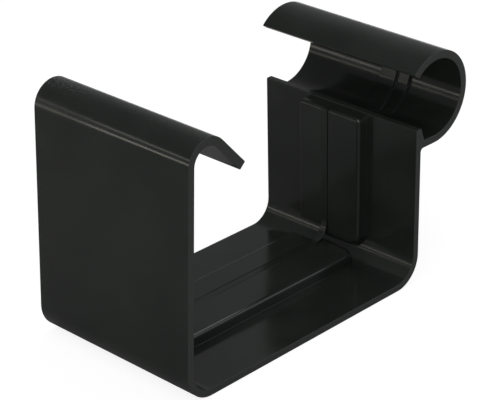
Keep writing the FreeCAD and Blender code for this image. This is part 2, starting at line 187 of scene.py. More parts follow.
class ChannelSizes(bpy.types.PropertyGroup):
    """Sizes of the section that runs the connector's whole length."""

    reach: length("Length", "Length along the gutter", (CAD_HIGH.x - CAD_LOW.x) / MM)
    wall: length("Wall", "Thickness of walls and floor", WALL)
    gutter_width: length("Gutter width", "Clear width between the feet of the walls",
                         -2 * CAD_LOW.y / MM - 2 * WALL)
    corner_radius: length("Corner radius", "Inside radius between floor and walls", 5.2)
    wall_lean: angle("Wall lean", "How far the walls lean inwards", 1.3)
    rim_height: length("Rim height", "Height of the front wall's rim", 37.7)
    rim_round: length("Rim rounding", "Rounding of the rim on the channel's side", 0.18)
    tip_flare: angle("Tip flare", "Slope of the rim's flank towards the socket", 20.0)
    tip_round: length("Tip rounding", "Rounding of the rim on the socket's side", 0.25)
    notch_round: length("Notch rounding", "Rounding where the rim's flank meets the socket's floor", 0.1)
    bead_y: length("Bead place", "Distance of the bead socket's axis from the middle",
                   MOUNTS["bead_socket"][1] / MM)
    bead_z: length("Bead height", "Height of the bead socket's axis", MOUNTS["bead_socket"][2] / MM)
    bead_radius: length("Bead radius", "Inside radius of the bead socket", 8.9)
    bead_wall: length("Bead wall", "Thickness of the bead socket", 1.8)
    lip_angle: angle("Lip angle", "Where the socket's wall ends, from level", 135.6)
    lip_tilt: angle("Lip tilt", "How far the lip's end is cut off square, towards level", 11.0)
    lip_round: length("Lip rounding", "Rounding of the socket's lip and of the flange's end", 0.2)
    web_fillet: length("Web fillet", "Fillet between the front wall and the socket", 0.8)
    back_height: length("Back height", "Height of the back wall's roll", CAD_HIGH.z / MM)
    roll_outer: length("Roll outside", "Outside radius of the roll on the back wall", 5.4)
    roll_radius: length("Roll inside", "Inside radius of the roll on the back wall", 3.6)
    flange_angle: angle("Flange angle", "Slope of the back flange", 47.0)
    flange_length: length("Flange length", "Length of the back flange down its slope", 9.3)
    flange_wall: length("Flange wall", "Thickness of the back flange", 2.0)
    end_round: length("End rounding", "Rounding round both end faces", 0.06)


class BandSizes(bpy.types.PropertyGroup):
    """Sizes of the raised band inside the channel: the rib and the pads beside it."""

    top_drop: length("Top drop", "How far the band stops below the front rim", 0.8)
    rib_place: length("Rib place", "Where the rib's middle lies along the gutter", -2.0)
    rib_thickness: length("Rib thickness", "Thickness of the rib", 1.6)
    rib_height: length("Rib height", "Height of the rib's higher edge over the walls", 2.9)
    rib_floor: length("Rib height on floor", "Height of the rib's higher edge over the floor", 2.72)
    rib_fall: length("Rib fall", "How much lower the rib's other edge is", 0.06)
    rib_corner: length("Rib corner", "Inside radius of the rib in the bottom corners", 4.5)
    rib_round: length("Rib rounding", "Rounding of the rib's edges", 0.08)
    rib_fillet: length("Rib fillet", "Fillet at the rib's foot", 0.03)
    near_gap: length("Near gap", "Groove between the rib and the wide pads", 0.12)
    far_gap: length("Far gap", "Groove between the rib and the narrow pads", 0.06)
    near_width: length("Wide pad", "Width of a wide pad along the gutter", 9.1)
    far_width: length("Narrow pad", "Width of a narrow pad along the gutter", 6.5)
    pad_height: length("Pad height", "Height of a pad over walls and floor", 2.8)
    pad_round: length("Pad rounding", "Rounding of a pad's edges away from the rib", 0.8)
    corner_round: length("Wide pad in corner", "Rounding of a wide pad's end in a bottom corner", 1.5)
    corner_reach: length("Wide pad's reach", "How far a wide pad's flat face runs into a bottom corner", 0.9)
    outline_round: length("Wide pad's outline", "Rounding of a wide pad's outline in the bottom corners", 3.6)
    far_end_round: length("Narrow pad's end", "Rounding of a narrow pad's outer end on the walls", 0.3)
    near_round: length("Wide pad at rib", "Rounding of a wide pad's edges beside the rib", 0.28)
    far_round: length("Narrow pad at rib", "Rounding of a narrow pad's edges beside the rib", 0.05)
    pad_fillet: length("Pad fillet", "Fillet at a pad's outer foot", 0.11)
    end_fillet: length("Pad fillet at ends", "Fillet at a pad's upper and lower foot", 0.05)


class CollarSizes(bpy.types.PropertyGroup):
    """Sizes of the stepped collar inside the bead socket."""

    start: length("Start", "Where the collar begins along the gutter", 0.6)
    middle: length("Step", "Where the high land steps down", 5.0)
    end: length("End", "Where the low land ends", 8.16)
    high_rise: length("High land", "Height of the high land's flat face at its middle", 1.6)
    low_rise: length("Low land", "Height of the low land's flat face at its middle", 0.84)
    facing: angle("Facing", "Where the middle of the flat faces lies, below level", 19.5)
    bend: angle("Bend", "Where the flat faces turn into the round, below level", 22.0)
    fade: angle("Fade", "Where the collar begins to die out, below level", 44.0)
    foot: angle("Foot", "Where the collar has died out, below level", 98.0)
    top: angle("Top", "Where the collar ends above level", 18.0)
    step_round: length("Step rounding", "Width over which a step rounds off", 0.25)


class PlasticLook(bpy.types.PropertyGroup):
    """Colours and finish of the moulded plastic."""

    dark: colour("Dark", "Darkest colour of the plastic", (0.0114, 0.0135, 0.0119))
    light: colour("Light", "Lightest colour of the plastic", (0.0153, 0.0180, 0.0159))
    dust: colour("Dust", "Colour of the fine dust specks", (0.030, 0.031, 0.029))
    # A pale colour on top of the roll, strongest at its far end: partly dust, partly painted sheen
    powder_and_sheen: colour("Powder", "Colour of the dust settled on top of the roll", (0.115, 0.122, 0.118))
    # The end faces' colour: partly a paler, duller finish, partly painted light standing in for a lamp at the
    # side
    end_tint_and_painted_light: colour("End faces", "Colour of the duller end faces", (0.0270, 0.0294, 0.0272))
    gloss: share("Gloss", "Roughness where the mould was polished best", 0.13)
    satin: share("Satin", "Roughness where the mould was polished least", 0.18)
    worn: share("Worn", "How much rougher the roll is at its far end", 0.11)
    end_rough: share("End roughness", "Roughness of the duller end faces", 0.42)
    grain_depth: length("Grain depth", "Depth of the fine grain", 0.0035)
    ripple_depth: length("Ripple depth", "Depth of the slow waves in the surface", 0.03)


class StageLook(bpy.types.PropertyGroup):
    """The floor, the lamps and the camera."""

    floor: colour("Floor", "Colour of the floor", (0.854, 0.863, 0.854))
    floor_sheen: colour("Floor in gloss", "Colour of the floor as glossy things mirror it",
                        (0.24, 0.24, 0.24))
    floor_far: colour("Far floor in gloss", "Colour of the floor far behind, as glossy things mirror it",
                      (0.90, 0.90, 0.90))
    floor_glow: share("Floor glow", "Share of plain white in the floor that the camera sees", 0.72)
    surroundings: colour("Surroundings", "Colour of the room behind and low down", (0.215, 0.220, 0.217))
    dim: colour("Dim surroundings", "Colour of the room high up, away from the backdrop",
                (0.13, 0.134, 0.132))
    overhead: power("Overhead lamp", "Power of the soft lamp overhead", 7.8)
    fill: power("Fill lamp", "Power of the soft lamp beside the camera", 2.7)
    side: power("Side lamp", "Power of the small lamp behind, on the right", 0.2)
    low_strip: power("Low strip", "Power of the low strip lamp", 0.0112)
    high_strip: power("High strip", "Power of the upper strip lamp", 0.0056)
    strip_tint: colour("Strip colour", "Colour of both strip lamps", (1.0, 0.95, 0.82))
    lens: bpy.props.FloatProperty(name="Lens", description="Focal length of the camera", default=139.8,
                                  subtype="DISTANCE_CAMERA", unit="CAMERA")
    camera_turn: angle("Camera turn", "Camera's place round the connector", 43.0)
    camera_rise: angle("Camera rise", "Camera's height angle", 26.1)
    camera_distance: length("Camera distance", "From the camera to its aim", 413.97)
    aim_height: length("Aim height", "Height of the point that the aim is counted from", 29.28)
    aim_right: length("Aim to the right", "How far the aim lies to the right of that point", 3.45)
    aim_down: length("Aim down", "How far the aim lies below that point", 2.94)


# Surfaces


def direction(turn):
    """Unit vector at an angle in a plane: (cos a, sin a)."""
    return np.array([math.cos(turn), math.sin(turn)])


def smooth_step(share_done):
    """A smooth step from nothing to one: t * t * (3 - 2 * t)."""
    return share_done * share_done * (3 - 2 * share_done)


def repeated(count, *axes):
    """Each axis once for every station."""
    return [np.tile(axis, (count, 1)) for axis in axes]


def walk(arcs, closed=True, run_step=RUN_STEP):
    """Points and normals of a plane path of arcs joined by straight runs.

    An arc is (centre, radius, start, end) and its point is centre + radius * (cos a, sin a). Its normal is
    that radial direction, turned round where the arc runs clockwise, because such an arc is hollow. A run
    from p to q is p + t * (q - p), and keeps the normal of the arc before it."""
    points, normals = [], []
    for centre, radius, start, end in arcs:
        turns = np.linspace(start, end, max(2, math.ceil(abs(end - start) / ARC_STEP) + 1))
        radial = np.stack([np.cos(turns), np.sin(turns)], axis=1)
        points.append(np.asarray(centre) + radius * radial)
        normals.append(math.copysign(1, end - start) * radial)
    following = points[1:] + points[:1] if closed else points[1:]
    path, facing = [], []
    for index, arc in enumerate(points):
        path.append(arc)
        facing.append(normals[index])
        if index < len(following):
            run = following[index][0] - arc[-1]
            count = math.ceil(np.hypot(*run) / run_step)
            steps = (np.arange(1, count) / max(count, 1))[:, None]
            path.append(arc[-1] + steps * run)
            facing.append(np.repeat(normals[index][-1:], len(steps), axis=0))
    return np.concatenate(path), np.concatenate(facing)


def rounded_path(points, across, up, along, first, last):
    """Stations of a path whose two ends are rounded by two radii.

    Over a quarter turn f at each end the station moves radius * sin f along the path while the profile
    shrinks by radius * (1 - cos f), so the end face meets the sides in a quarter circle."""
    turn = np.linspace(0, QUARTER, END_STEPS + 1)
    ends = len(turn)
    head = points[:1] + along[:1] * (first * (1 - np.sin(turn[::-1])))[:, None]
    tail = points[-1:] - along[-1:] * (last * (1 - np.sin(turn)))[:, None]
    middle = np.zeros(len(points) - 2)
    radius = np.concatenate([np.full(ends, first), middle, np.full(ends, last)])
    tilt = np.concatenate([-turn[::-1], middle, turn])

    def spread(rows):
        head_rows, tail_rows = np.repeat(rows[:1], ends, axis=0), np.repeat(rows[-1:], ends, axis=0)
        return np.concatenate([head_rows, rows[1:-1], tail_rows])

    return SimpleNamespace(origin=np.concatenate([head, points[1:-1], tail]), across=spread(across),
                           up=spread(up), facing=spread(up), along=spread(along), tilt=tilt,
                           inset=radius * (1 - np.cos(tilt)))


def carry(points, normals, at):
    """Carry a plane profile along the stations of a path.

    Point = station + (u - inset * nu) * across + (v - inset * nv) * up. Normal = cos(tilt) * (nu * across
    + nv * facing) + sin(tilt) * along, where facing is up unless the profile's height changes on the way."""
    shrunk = points[None] - at.inset[:, None, None] * normals[None]
    across, up, facing, along = at.across[:, None], at.up[:, None], at.facing[:, None], at.along[:, None]
    place = at.origin[:, None] + shrunk[..., :1] * across + shrunk[..., 1:] * up
    level, lifted = np.cos(at.tilt)[:, None, None], np.sin(at.tilt)[:, None, None]
    return place, level * (normals[None, :, :1] * across + normals[None, :, 1:] * facing) + lifted * along


def surface(points, normals):
    """A grid of points, closed round each row: quads between the rows and a flat face over each end."""
    rows, columns = points.shape[:2]
    number = np.arange(rows * columns).reshape(rows, columns)
    beside = np.roll(number, -1, axis=1)
    quads = np.stack([number[:-1], beside[:-1], beside[1:], number[1:]], axis=-1)
    caps = [number[0, ::-1].tolist(), number[-1].tolist()]
    return points.reshape(-1, 3), normals.reshape(-1, 3), quads.reshape(-1, 4), caps


def add_piece(context, name, surfaces):
    """Put closed surfaces into one mesh with their own normals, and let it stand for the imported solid."""
    points, normals, faces, start = [], [], [], 0
    for place, facing, quads, caps in surfaces:
        points.append(place)
        normals.append(facing)
        faces += (quads + start).tolist()
        faces += [[start + corner for corner in cap] for cap in caps]
        start += len(place)
    facing = np.concatenate(normals)
    facing /= np.linalg.norm(facing, axis=1, keepdims=True)
    mesh = bpy.data.meshes.new(name)
    mesh.from_pydata(np.concatenate(points).tolist(), [], faces)
    if mesh.validate():
        raise RuntimeError(f"{name} has faces that Blender had to mend")
    mesh.shade_smooth()
    mesh.normals_split_custom_set_from_vertices(facing.tolist())
    mesh.materials.append(plastic_material(context.scene.connector_plastic))
    piece = bpy.data.objects.new(name, mesh)
    context.scene.collection.objects.link(piece)
    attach(piece, BODY)
    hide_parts(NODE)


# Shapes


def wall_out(sizes, side):
    """Angle that a wall's outside faces: the lean over level at the front, mirrored at the back."""
    return sizes.wall_lean if side == FRONT else HALF_TURN - sizes.wall_lean


def corner_centre(sizes, side):
    """Centre of the rounding between the floor and a wall."""
    return np.array([side * (sizes.gutter_width / 2 - sizes.corner_radius), sizes.wall + sizes.corner_radius])


def on_wall(sizes, side, offset, height):
    """Point at a height on the line that runs up a wall at an offset from its corner's centre."""
    out = direction(wall_out(sizes, side))
    foot = corner_centre(sizes, side) + offset * out
    rise = side * np.array([-out[1], out[0]])
    return foot + rise * (height - foot[1]) / rise[1]


def round_centre(corner, facing, next_facing, radius):
    """Centre of a rounding at a corner between two flat faces: corner - r * (n + m) / (1 + n . m)."""
    return corner - radius * (facing + next_facing) / (1 + facing @ next_facing)


def rim_arcs(sizes):
    """Arcs of the front wall's tip: the notch beside the socket and the two roundings of the rim.

    The notch's centre is the point of the line rim + r * n + t * d, along the flank, that lies r over the
    socket's flat floor."""
    lean = sizes.wall_lean
    flank = lean + sizes.tip_flare
    facing, down = direction(flank), direction(flank - QUARTER)
    outer = on_wall(sizes, FRONT, sizes.corner_radius + sizes.wall, sizes.rim_height)
    inner = outer - sizes.wall * direction(lean)
    start = outer + sizes.notch_round * facing
    level = sizes.bead_z - sizes.bead_radius + sizes.notch_round
    notch = start + down * (level - start[1]) / down[1]
    top = lean + QUARTER
    tip_centre = round_centre(outer, facing, direction(top), sizes.tip_round)
    rim_centre = round_centre(inner, direction(top), direction(lean + HALF_TURN), sizes.rim_round)
    return [(notch, sizes.notch_round, -QUARTER, flank - HALF_TURN),
            (tip_centre, sizes.tip_round, flank, top),
            (rim_centre, sizes.rim_round, top, lean + HALF_TURN)]


def socket_arcs(sizes):
    """Arcs of the bead socket: its outside, the two roundings of its lip, and its inside.

    The lip's end is a line at distance h from the axis, where h is minus the wall's middle radius times the
    sine of the tilt. A rounding of radius r touches it and a circle of radius R about the axis, so its centre
    lies at R - r or R + r from the axis, and at the angle whose cosine is (h - r) over that, before the
    direction that the end faces."""
    bead = np.array([sizes.bead_y, sizes.bead_z])
    small, outside = sizes.lip_round, sizes.bead_radius + sizes.bead_wall
    end = sizes.lip_angle + QUARTER + sizes.lip_tilt
    edge = -(sizes.bead_radius + sizes.bead_wall / 2) * math.sin(sizes.lip_tilt) - small
    outer = end - math.acos(edge / (outside - small))
    inner = end - math.acos(edge / (sizes.bead_radius + small))
    return [(bead, outside, -QUARTER, outer),
            (bead + (outside - small) * direction(outer), small, outer, end),
            (bead + (sizes.bead_radius + small) * direction(inner), small, end, inner + HALF_TURN),
            (bead, sizes.bead_radius, inner, -QUARTER)]


def channel_arcs(sizes):
    """Arcs of the connector's section, in order: front corner, web, socket, rim, coves, roll, flange, corner.

    The roll's hollow touches the wall and the flange, whose thicknesses differ. So its centre c, seen from
    the centre of the roll's outside, solves c . n = R - thickness - r for the normals n of both."""
    lean, wall, small = sizes.wall_lean, sizes.wall, sizes.lip_round
    corner_out = sizes.corner_radius + wall
    front, back = corner_centre(sizes, FRONT), corner_centre(sizes, BACK)
    web_height = sizes.bead_z - (sizes.bead_radius + sizes.bead_wall) - sizes.web_fillet
    web = on_wall(sizes, FRONT, corner_out + sizes.web_fillet, web_height)

    roll_out = sizes.roll_outer
    roll = on_wall(sizes, BACK, corner_out - roll_out, sizes.back_height - roll_out)
    slope = QUARTER - sizes.flange_angle
    top, end, under = direction(slope), direction(slope - QUARTER), direction(slope + HALF_TURN)
    tip = roll + roll_out * top + sizes.flange_length * end
    hook = tip - sizes.flange_wall * top
    back_out = wall_out(sizes, BACK)
    room = [roll_out - thickness - sizes.roll_radius for thickness in (wall, sizes.flange_wall)]
    hollow = roll + np.linalg.solve(np.array([direction(back_out), top]), room)

    return [
        (front, corner_out, -QUARTER, lean),
        (web, sizes.web_fillet, HALF_TURN + lean, QUARTER),
        *socket_arcs(sizes),
        *rim_arcs(sizes),
        (front, sizes.corner_radius, lean, -QUARTER),
        (back, sizes.corner_radius, -QUARTER, back_out - 2 * HALF_TURN),
        (hollow, sizes.roll_radius, back_out, slope),
        (round_centre(hook, under, end, small), small, slope + HALF_TURN, slope + HALF_TURN + QUARTER),
        (round_centre(tip, end, top, small), small, slope - QUARTER, slope),
        (roll, roll_out, slope, back_out),
        (back, corner_out, back_out, HALF_TURN + QUARTER),
    ]


def channel_surface(sizes):
    """The section carried straight along the gutter, with its end faces rounded off."""
    places = np.linspace(-sizes.reach / 2, sizes.reach / 2, 1 + math.ceil(sizes.reach / RUN_STEP))
    axes = repeated(len(places), ACROSS, UP, ALONG)
    path = rounded_path(places[:, None] * ALONG, *axes, sizes.end_round, sizes.end_round)
    return surface(*carry(*walk(channel_arcs(sizes)), path))


def rooted_bar(sizes, half, small, fillet, top):
    """Section of a bar with hollow fillets at its foot, rooted half a wall deep, with given arcs on top."""
    root = sizes.wall / 2
    return walk([
        ((half + fillet - small, small - root), small, -QUARTER, 0),
        ((half + fillet, fillet - TOE), fillet, -QUARTER, -HALF_TURN),
        *top,
        ((-half - fillet, fillet - TOE), fillet, 0, -QUARTER),
        ((small - half - fillet, small - root), small, HALF_TURN, HALF_TURN + QUARTER),
    ])


def rib_path(sizes, band):
    """Stations down the front wall, across the floor and up the back wall, with the rib's height at each.

    Outside the corners the height h is the rib's over wall or floor. In a corner the rib's face is an arc of
    radius r about b, so h is the smaller root of |p + h * n - b| = r, and the face turns towards b."""
    coves = [(corner_centre(sizes, FRONT), sizes.corner_radius, sizes.wall_lean, -QUARTER),
             (corner_centre(sizes, BACK), sizes.corner_radius, -QUARTER,
              wall_out(sizes, BACK) - 2 * HALF_TURN)]
    points, normals = walk(coves, False, RIB_STEP)
    runs = []
    for side, foot in ((FRONT, points[0]), (BACK, points[-1])):
        rim = on_wall(sizes, side, sizes.corner_radius, sizes.rim_height - band.top_drop)
        count = math.ceil(np.hypot(*(foot - rim)) / RIB_STEP)
        runs.append(rim + (np.arange(count) / count)[:, None] * (foot - rim))
    down, rising = runs
    points = np.vstack([down, points, rising[::-1]])
    normals = np.vstack([np.repeat(normals[:1], len(down), axis=0), normals,
                         np.repeat(normals[-1:], len(rising), axis=0)])

    fold = np.stack([np.sign(points[:, 0]), np.ones(len(points))], axis=1)
    level = sizes.wall + band.rib_floor + band.rib_corner
    bend = on_wall(sizes, FRONT, sizes.corner_radius - band.rib_height - band.rib_corner, level)
    from_bend, out = points * fold - bend, normals * fold
    toward = np.sum(from_bend * out, axis=1)
    inside = toward ** 2 - np.sum(from_bend ** 2, axis=1) + band.rib_corner ** 2
    arc = -toward - np.sqrt(np.maximum(inside, 0))
    at_corner = (from_bend[:, 0] > 0) & (from_bend[:, 1] < 0)
    height = np.where(at_corner, arc, np.where(from_bend[:, 0] > 0, band.rib_height, band.rib_floor))
    turned = -(from_bend + height[:, None] * out) / band.rib_corner
    return points, normals, height, np.where(at_corner[:, None], turned, out) * fold


def rib_surface(sizes, band):
    """A flat-sided rib carried along its path, whose height follows the rib's inner face.

    Its profile is a rooted bar with rounded top edges. Its top falls to one side, by the angle whose tangent
    is fall / width."""
    points, normals, height, facing = rib_path(sizes, band)
    flat = np.zeros((len(points), 1))
    up = np.hstack([flat, normals])
    across, = repeated(len(points), ALONG)
    origin = np.hstack([flat, points]) + band.rib_place * ALONG
    soft = band.rib_round * RIB_END
    path = rounded_path(origin, across, up, np.cross(across, up), soft, soft)
    stretch = np.concatenate([np.ones(END_STEPS), height / band.rib_height, np.ones(END_STEPS)])
    path.up = path.up * stretch[:, None]
    path.facing[END_STEPS:-END_STEPS, 1:] = facing

    half, tall, small = band.rib_thickness / 2, band.rib_height, band.rib_round
    top_out = QUARTER - math.atan(band.rib_fall / (2 * (half - small)))
    profile = rooted_bar(sizes, half, small, band.rib_fillet, [
        ((half - small, tall - band.rib_fall - small), small, 0, top_out),
        ((small - half, tall - small), small, top_out, HALF_TURN),
    ])
    return surface(*carry(*profile, path))


def pad_span(band, side):
    """Where a pad begins beside the rib and where it ends, along the gutter. Near pads are the wide ones."""
    gap, width = (band.near_gap, band.near_width) if side == NEAR else (band.far_gap, band.far_width)
    near = band.rib_thickness / 2 + gap
    return band.rib_place + side * near, band.rib_place + side * (near + width)


def draw_back(band, path, profile, half, end, corners):
    """How far a wide pad's ends in the corners draw back towards its outer end, and how the normals turn.

    With t growing to nearly one over the last r of the pad, an end draws back by r * (1 - sqrt(1 - t * t)),
    and its normals turn along the gutter by t / sqrt(1 - t * t). Both fade to nothing at the pad's middle."""
    points, normals = profile
    beyond = np.clip(1 + (path.origin @ ALONG - end) / band.outline_round, 0, OUTLINE_END)
    rest = np.sqrt(1 - beyond ** 2)
    sideways = points[:, :1] / half
    moved = np.maximum(-sideways, 0) * corners[0] - np.maximum(sideways, 0) * corners[1]
    shift = (band.outline_round * (1 - rest))[:, None, None] * moved * path.across[:, None]
    return shift, (beyond / rest)[:, None, None] * np.abs(normals[:, :1] * moved) * ALONG


def pad_block(sizes, band, origin, facing, side, low, high, corners):
    """One pad: a section across the gutter carried along it, from beside the rib to the outer end.

    The section is a rooted bar with rounded corners. A wide pad reaches into the bottom corners, where its
    end is a large quarter circle. The section shrinks in a quarter circle at both ends, which rounds the
    pad's outline as well as its top."""
    wide, on_floor = side == NEAR, facing[2] > abs(facing[1])
    beside = band.near_round if wide else band.far_round
    outer = PAD_SHRINK * band.pad_round if wide or on_floor else band.far_end_round
    before, after = (band.corner_round if wide and corner else band.pad_round for corner in corners)
    more = [band.corner_reach + band.corner_round if wide and corner else 0.0 for corner in corners]
    low, high = low - more[0], high + more[1]
    half = (high - low) / 2
    profile = rooted_bar(sizes, half, band.pad_round, band.end_fillet, [
        ((half - after, band.pad_height - after), after, 0, QUARTER),
        ((before - half, band.pad_height - before), before, QUARTER, HALF_TURN),
    ])

    start, end = sorted(pad_span(band, side))
    first, last = (beside, outer)[::side]
    count = 1 + math.ceil((end - start) / PAD_STEP)
    places = np.linspace(start + first, end - last, count)
    places[0], places[-1] = start, end
    ahead = np.cross(facing, ALONG)
    stations = origin + (low + high) / 2 * ahead + places[:, None] * ALONG
    path = rounded_path(stations, *repeated(count, ahead, facing, ALONG), first, last)
    place, normals = carry(*profile, path)
    if wide:
        shift, turned = draw_back(band, path, profile, half, end, corners)
        place, normals = place + shift, normals + turned
    return surface(place, normals)


def pad_toe(band, origin, facing, side, low, high):
    """The hollow fillet along a pad's outer foot: a quarter circle with three buried corners behind it."""
    fillet = band.pad_fillet
    profile = walk([
        ((fillet, fillet - TOE), fillet, -QUARTER, -HALF_TURN),
        ((TOE - fillet, fillet - 2 * TOE), TOE, QUARTER, HALF_TURN),
        ((TOE - fillet, TOE - fillet), TOE, HALF_TURN, HALF_TURN + QUARTER),
        ((fillet - TOE, TOE - fillet), TOE, -QUARTER, 0),
    ])
    ahead = np.cross(facing, ALONG)
    run = np.array([high - band.pad_round, (low + high) / 2, low + band.pad_round])[::side]
    stations = origin + pad_span(band, side)[1] * ALONG + run[:, None] * ahead
    axes = repeated(len(run), side * ALONG, facing, -side * ahead)
    return surface(*carry(*profile, rounded_path(stations, *axes, TOE / 2, TOE / 2)))


def pad_surfaces(sizes, band):
    """Six pads with their fillets: on the front wall, back wall and floor, on each side of the rib."""
    top = sizes.rim_height - band.top_drop
    spots = []
    for side in (FRONT, BACK):
        out = direction(wall_out(sizes, side))
        foot = corner_centre(sizes, side) + sizes.corner_radius * out
        tall = np.linalg.norm(on_wall(sizes, side, sizes.corner_radius, top) - foot)
        span = (0.0, tall) if side == FRONT else (-tall, 0.0)
        spots.append((np.array([0.0, *foot]), np.array([0.0, *-out]), *span, (side == FRONT, side == BACK)))
    half = corner_centre(sizes, FRONT)[0]
    spots.append((sizes.wall * UP, UP, -half, half, (True, True)))
    made = []
    for origin, facing, low, high, corners in spots:
        for side in (NEAR, FAR):
            made += [pad_block(sizes, band, origin, facing, side, low, high, corners),
                     pad_toe(band, origin, facing, side, low, high)]
    return made


def collar_surface(sizes, collar):
    """The stepped collar, as a height over the inside of the socket.

    A land is flat above the bend: there its distance from the socket's axis is d / cos(a - f), where d is the
    distance of the flat face and f the angle it lies at. Below the bend it keeps the height it has there, and
    dies out over a smooth step. Along the gutter the height rises to the high land, drops to the low land and
    drops to nothing, each over a smooth step."""
    turns = np.linspace(collar.top, -collar.foot, COLLAR_STEPS)
    held = np.maximum(turns, -collar.bend)
    fade = smooth_step(np.clip((turns + collar.foot) / (collar.foot - collar.fade), 0, 1))[:, None]

    def land(rise):
        reach = (sizes.bead_radius - rise) / np.cos(held + collar.facing)
        return np.maximum(sizes.bead_radius - reach, -COLLAR_SINK)[:, None] * fade - (1 - fade) * COLLAR_SINK

    step = np.linspace(0, 1, LAND_STEPS)
    wide = collar.step_round
    spread = (0.5 - step) * wide
    places = np.concatenate([[collar.end + wide / 2], collar.end + spread, collar.middle + spread,
                             collar.start + spread, [collar.start - wide / 2]])[None]
    rise = smooth_step(step)[None]
    root = np.full_like(fade, -sizes.bead_wall / 2)
    high, low = land(collar.high_rise), land(collar.low_rise)
    height = np.hstack([root, low * rise, low + (high - low) * rise, high * (1 - rise), root])

    out = np.stack([0 * turns, np.cos(turns), np.sin(turns)], axis=1)[:, None]
    axis = np.array([0.0, sizes.bead_y, sizes.bead_z])
    points = axis + places[..., None] * ALONG + (sizes.bead_radius - height[..., None]) * out
    normals = np.cross(np.gradient(points, axis=1), np.gradient(points, axis=0))
    return surface(points, normals)


# Finishes


class NodeBoard:
    """The nodes of a material or of the surroundings, placed and joined in one call each."""

    def __init__(self, owner):
        self.owner = owner
        owner.use_nodes = True
        self.tree = owner.node_tree
        self.tree.nodes.clear()

    def add(self, kind, inputs=None, **settings):
        """Add a node; an input is another node's socket or a plain value."""
        node = self.tree.nodes.new(kind)
        for key, value in settings.items():
            setattr(node, key, value)
        for key, value in (inputs or {}).items():
            if isinstance(value, bpy.types.NodeSocket):
                self.tree.links.new(value, node.inputs[key])
            else:
                node.inputs[key].default_value = value
        return node

    def noise(self, place, waves, detail):
        """Noise between nothing and one, with its waves per metre."""
        inputs = {"Vector": place, "Scale": waves, "Detail": detail}
        return self.add("ShaderNodeTexNoise", inputs).outputs["Fac"]

    def ramp(self, value, low, high, start, end):
        """Carry a value from one span to another, held at both ends."""
        return self.add("ShaderNodeMapRange", {"Value": value, "From Min": low, "From Max": high,
                                               "To Min": start, "To Max": end}).outputs["Result"]

    def work(self, operation, *values):
        """Work out one or two values."""
        return self.add("ShaderNodeMath", dict(enumerate(values)), operation=operation).outputs[0]

    def mix(self, factor, first, second):
        """Blend two colours; each is another node's socket or three plain numbers."""
        inputs = {0: factor}
        for slot, value in ((MIX_FIRST, first), (MIX_SECOND, second)):
            inputs[slot] = value if isinstance(value, bpy.types.NodeSocket) else (*value, 1.0)
        return self.add("ShaderNodeMix", inputs, data_type="RGBA").outputs[MIX_RESULT]

    def finish(self, shader, output="ShaderNodeOutputMaterial"):
        """Join the shader to the output."""
        self.add(output, {"Surface": shader.outputs[0]})
        return self.owner


def plastic_tint(board, look, place, cloud, end_face):
    """Near-black clouds with sparse specks, powder with painted sheen on top of the roll, and end faces
    painted paler, partly for their duller finish and partly as painted light from the side.
    """
    along, across, height = board.add("ShaderNodeSeparateXYZ", {"Vector": place}).outputs
    base = board.mix(board.ramp(cloud, *TINT_SPAN, 0.0, 1.0), look.dark, look.light)
    specks = board.ramp(board.noise(place, *SPECKS), *SPECK_SPAN, 0.0, SPECK_COVER)
    tint = board.mix(specks, base, look.dust)
    # Pale colour on the roll's top, strongest at its far end: partly dust, partly painted sheen
    crest = MOUNTS["back_hook"][1]
    on_roll = board.ramp(across, crest + ROLL_SPAN[0], crest + ROLL_SPAN[1], 0.0, 1.0)
    on_top = board.ramp(height, CAD_HIGH.z + TOP_SPAN[0], CAD_HIGH.z + TOP_SPAN[1], 0.0, 1.0)
    amount = board.ramp(along, CAD_LOW.x, POWDER_AND_SHEEN_END * CAD_LOW.x, 1.0, POWDER_AND_SHEEN_LEAST)
    powder_and_sheen_grains = board.ramp(board.noise(place, *POWDER_AND_SHEEN), *POWDER_AND_SHEEN_SPAN, 0.0, amount)
    powder_and_sheen = board.work("MULTIPLY", board.work("MULTIPLY", on_roll, on_top), powder_and_sheen_grains)
    # The end faces get a paler colour: partly their duller finish, partly painted light from the side
    return board.mix(end_face, board.mix(powder_and_sheen, tint, look.powder_and_sheen), look.end_tint_and_painted_light)


def plastic_roughness(board, look, place, cloud, end_face):
    """Uneven gloss that follows the clouds, duller on the roll's far end and on the end faces."""
    along, across, _ = board.add("ShaderNodeSeparateXYZ", {"Vector": place}).outputs
    crest = MOUNTS["back_hook"][1]
    polish = board.ramp(cloud, *POLISH_SPAN, look.gloss, look.satin)
    behind = board.ramp(across, crest, crest + WORN_REACH, look.worn, 0.0)
    worn = board.ramp(along, CAD_LOW.x, WORN_END * CAD_LOW.x, behind, 0.0)
    return board.ramp(end_face, 0.0, 1.0, board.work("ADD", polish, worn), look.end_rough)


def plastic_material(look):
    """Moulded plastic: clouded near-black colour, uneven gloss, fine grain, slow ripples and sparse dust."""
    known = bpy.data.materials.get("moulded_plastic")
    if known:
        return known
    board = NodeBoard(bpy.data.materials.new("moulded_plastic"))
    place = board.add("ShaderNodeTexCoord").outputs["Object"]
    cloud = board.noise(place, *CLOUD)
    reach = board.work("ABSOLUTE", board.add("ShaderNodeSeparateXYZ", {"Vector": place}).outputs["X"])
    end_face = board.ramp(reach, CAD_HIGH.x + END_SPAN[0], CAD_HIGH.x + END_SPAN[1], 0.0, 1.0)
    slow = board.add("ShaderNodeBump", {"Height": board.noise(place, *RIPPLE), "Strength": 1.0,
                                        "Distance": look.ripple_depth})
    fine = board.add("ShaderNodeBump", {"Height": board.noise(place, *GRAIN), "Strength": 1.0,
                                        "Distance": look.grain_depth, "Normal": slow.outputs["Normal"]})
    return board.finish(board.add("ShaderNodeBsdfPrincipled", {
        "Base Color": plastic_tint(board, look, place, cloud, end_face),
        "Roughness": plastic_roughness(board, look, place, cloud, end_face),
        "IOR": PLASTIC_IOR,
        "Normal": fine.outputs["Normal"],
    }))


